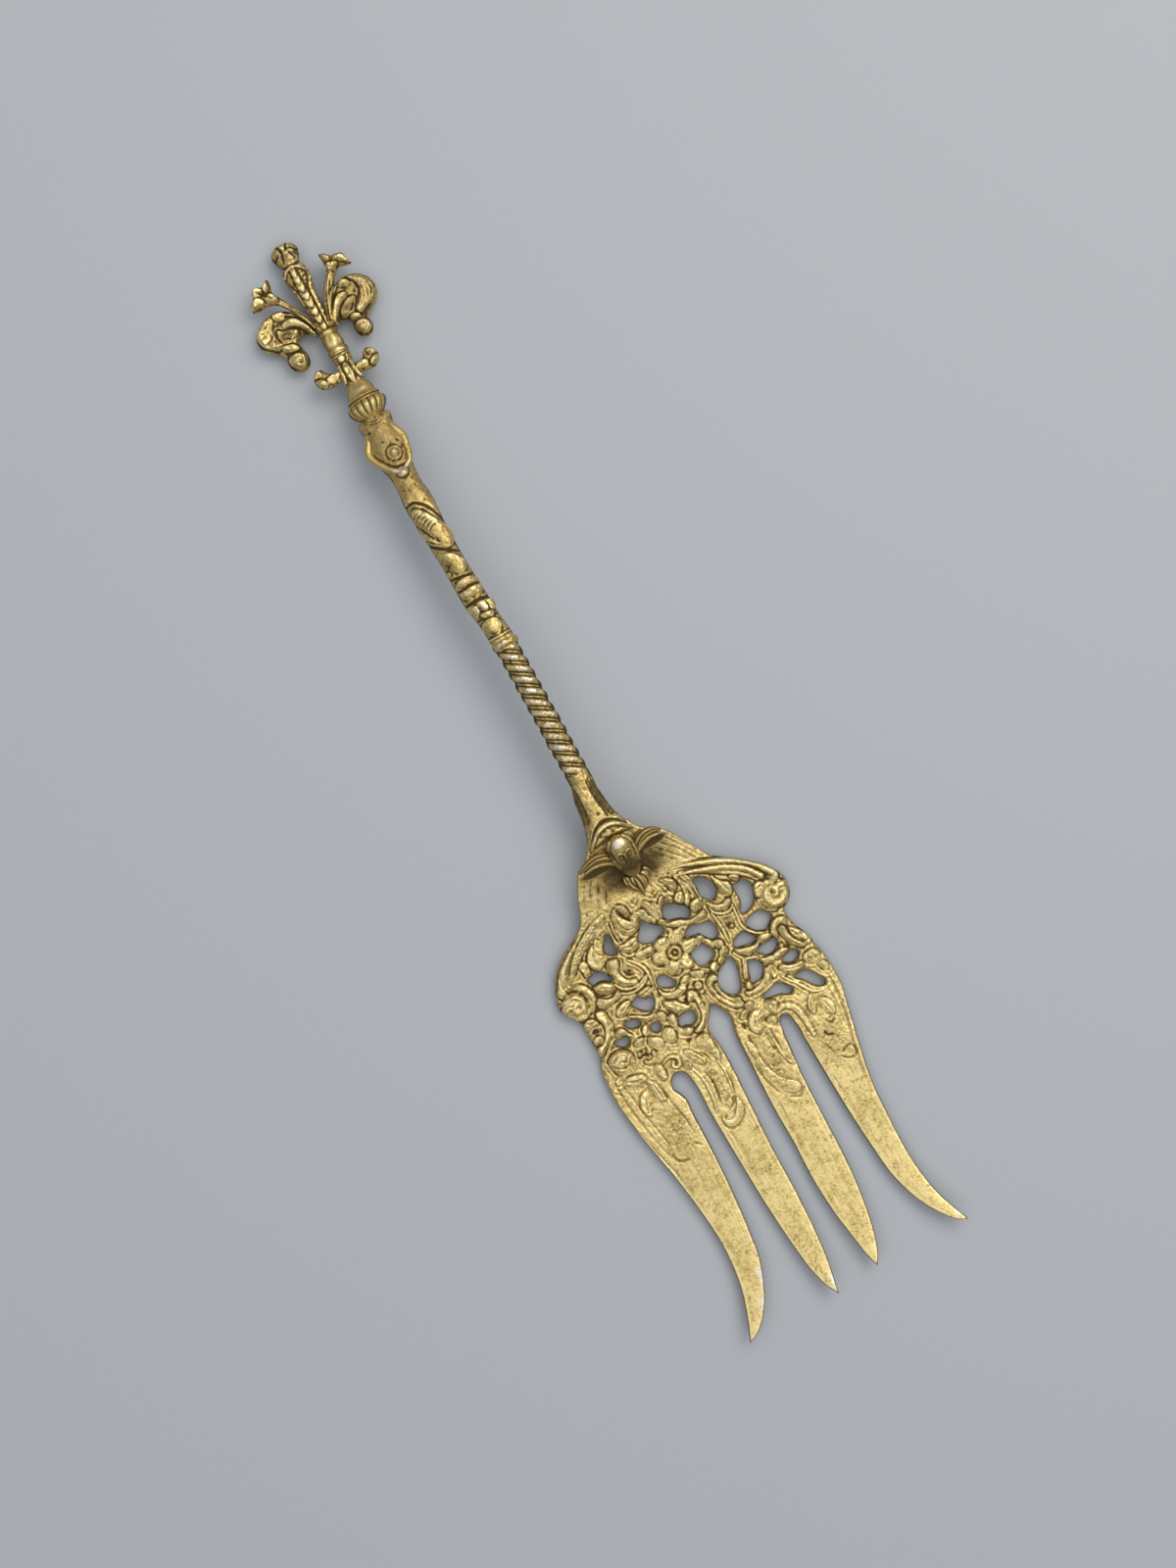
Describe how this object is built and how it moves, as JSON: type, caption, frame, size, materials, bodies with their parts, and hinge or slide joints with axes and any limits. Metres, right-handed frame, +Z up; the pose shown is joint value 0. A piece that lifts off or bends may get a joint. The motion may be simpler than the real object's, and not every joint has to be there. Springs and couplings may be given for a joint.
{
  "type": "serving fork",
  "caption": "Gilt serving fork with a pierced, scroll-worked head of flared tines, a winged mask at the neck, a rope-twist stem, a half-figure terminal and a bound lily finial.",
  "frame": {"origin": "on the table surface under the middle of the fork, which lies face up", "axes": "+Y along the fork from the tine tips to the finial, +X to the right seen from above, +Z up out of the face"},
  "size_m": [0.0488, 0.22, 0.0112],
  "materials": {
    "gilt_head": "satin gilding with brown patina in the recesses",
    "gilt_handle": "satin gilding with brown patina in the recesses",
    "gilt_worn": "gilding worn pale on the high points"
  },
  "bodies": {
    "root": {"pierced_head": "gilt_head", "winged_mask": "gilt_worn", "neck_socket": "gilt_handle", "twisted_stem": "gilt_worn", "stem_collar": "gilt_handle", "scaled_tail": "gilt_handle", "figure_torso": "gilt_worn", "shell_cup": "gilt_handle", "dome_cap": "gilt_handle", "finial_stalk": "gilt_handle", "volute_left": "gilt_handle", "volute_right": "gilt_handle", "binding_band": "gilt_handle", "plume": "gilt_worn", "bell_left": "gilt_handle", "bell_right": "gilt_handle", "acanthus_left": "gilt_handle", "acanthus_right": "gilt_handle"}
  },
  "joints": []
}
